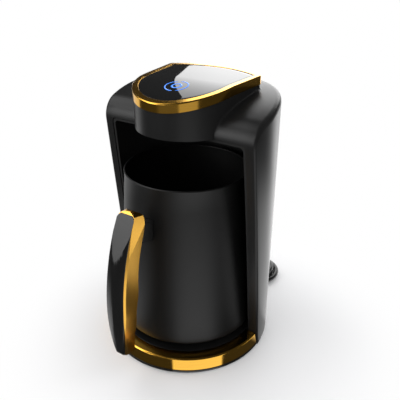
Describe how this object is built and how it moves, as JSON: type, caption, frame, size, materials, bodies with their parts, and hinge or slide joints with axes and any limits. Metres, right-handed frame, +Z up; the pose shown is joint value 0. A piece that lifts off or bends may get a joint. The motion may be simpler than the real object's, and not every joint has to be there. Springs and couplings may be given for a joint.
{
  "type": "electric turkish coffee maker",
  "caption": "Electric turkish coffee maker: open drum housing with a sloping touch head, a round hot plate and a tapered coffee pot on a long handle that slides out to the front.",
  "frame": {"origin": "on the table, under the pot's and the drum's common axis (plane of the rubber feet)", "axes": "+Z up, the recess opens and the pot slides out towards -Y, +X to the right as seen from the front"},
  "size_m": [0.1608, 0.2589, 0.2065],
  "materials": {
    "shell_plastic": "polished, very dark grey to black",
    "base_plastic": "satin black",
    "foot_rubber": "matt dark grey",
    "screw_steel": "zinc plated",
    "gilt_metal": "satin copper-gold anodised",
    "plate_coat": "dark non-stick coat, satin",
    "seal_rubber": "matt black",
    "heater_metal": "dull, heat-tinted",
    "tray_metal": "mill finish",
    "ceramic_white": "unglazed",
    "liner_plastic": "fine matt black",
    "board_green": "solder-resist green",
    "relay_blue": "satin blue",
    "wire_red": "soft insulation",
    "touch_glass": "polished black, backed",
    "guide_plastic": "frosted, lit blue",
    "spring_steel": "bright wire",
    "lens_plastic": "dark red infra-red window",
    "pot_enamel": "glossy black coat outside",
    "grip_plastic": "polished black",
    "cord_pvc": "soft black PVC",
    "tie_pvc": "black coated wire tie",
    "pin_nickel": "nickel plated"
  },
  "bodies": {
    "housing": {"floor_pan": "base_plastic", "rubber_feet": "foot_rubber", "base_screws": "screw_steel", "base_trim": "gilt_metal", "deck_plate": "base_plastic", "plate_seal": "seal_rubber", "hot_plate": "plate_coat", "heating_element": "heater_metal", "heater_tray": "tray_metal", "thermostat": "ceramic_white", "thermal_fuse": "ceramic_white", "body_shell": "shell_plastic", "recess_liner": "liner_plastic", "power_board": "board_green", "power_relay": "relay_blue", "wire_loom": "wire_red", "head_housing": "shell_plastic", "head_trim": "gilt_metal", "touch_panel": "touch_glass", "light_guide": "guide_plastic", "control_board": "board_green", "touch_spring": "spring_steel", "buzzer": "base_plastic", "sensor_lens": "lens_plastic", "sensor_board": "board_green", "head_screws": "screw_steel", "cord_gland": "cord_pvc", "cord_lead": "cord_pvc", "cord_hank": "cord_pvc", "cord_tail": "cord_pvc", "cord_ties": "tie_pvc", "plug_body": "cord_pvc", "plug_pins": "pin_nickel"},
    "pot": {"pot_body": "pot_enamel", "pot_diffuser": "plate_coat", "handle_bracket": "base_plastic", "handle_frame": "gilt_metal", "handle_grip": "grip_plastic", "handle_screws": "screw_steel"}
  },
  "joints": [
    {"name": "pot_pull", "type": "slide", "parent": "housing", "child": "pot", "axis": [0, -1, 0], "range_m": [0, 0.175]}
  ]
}
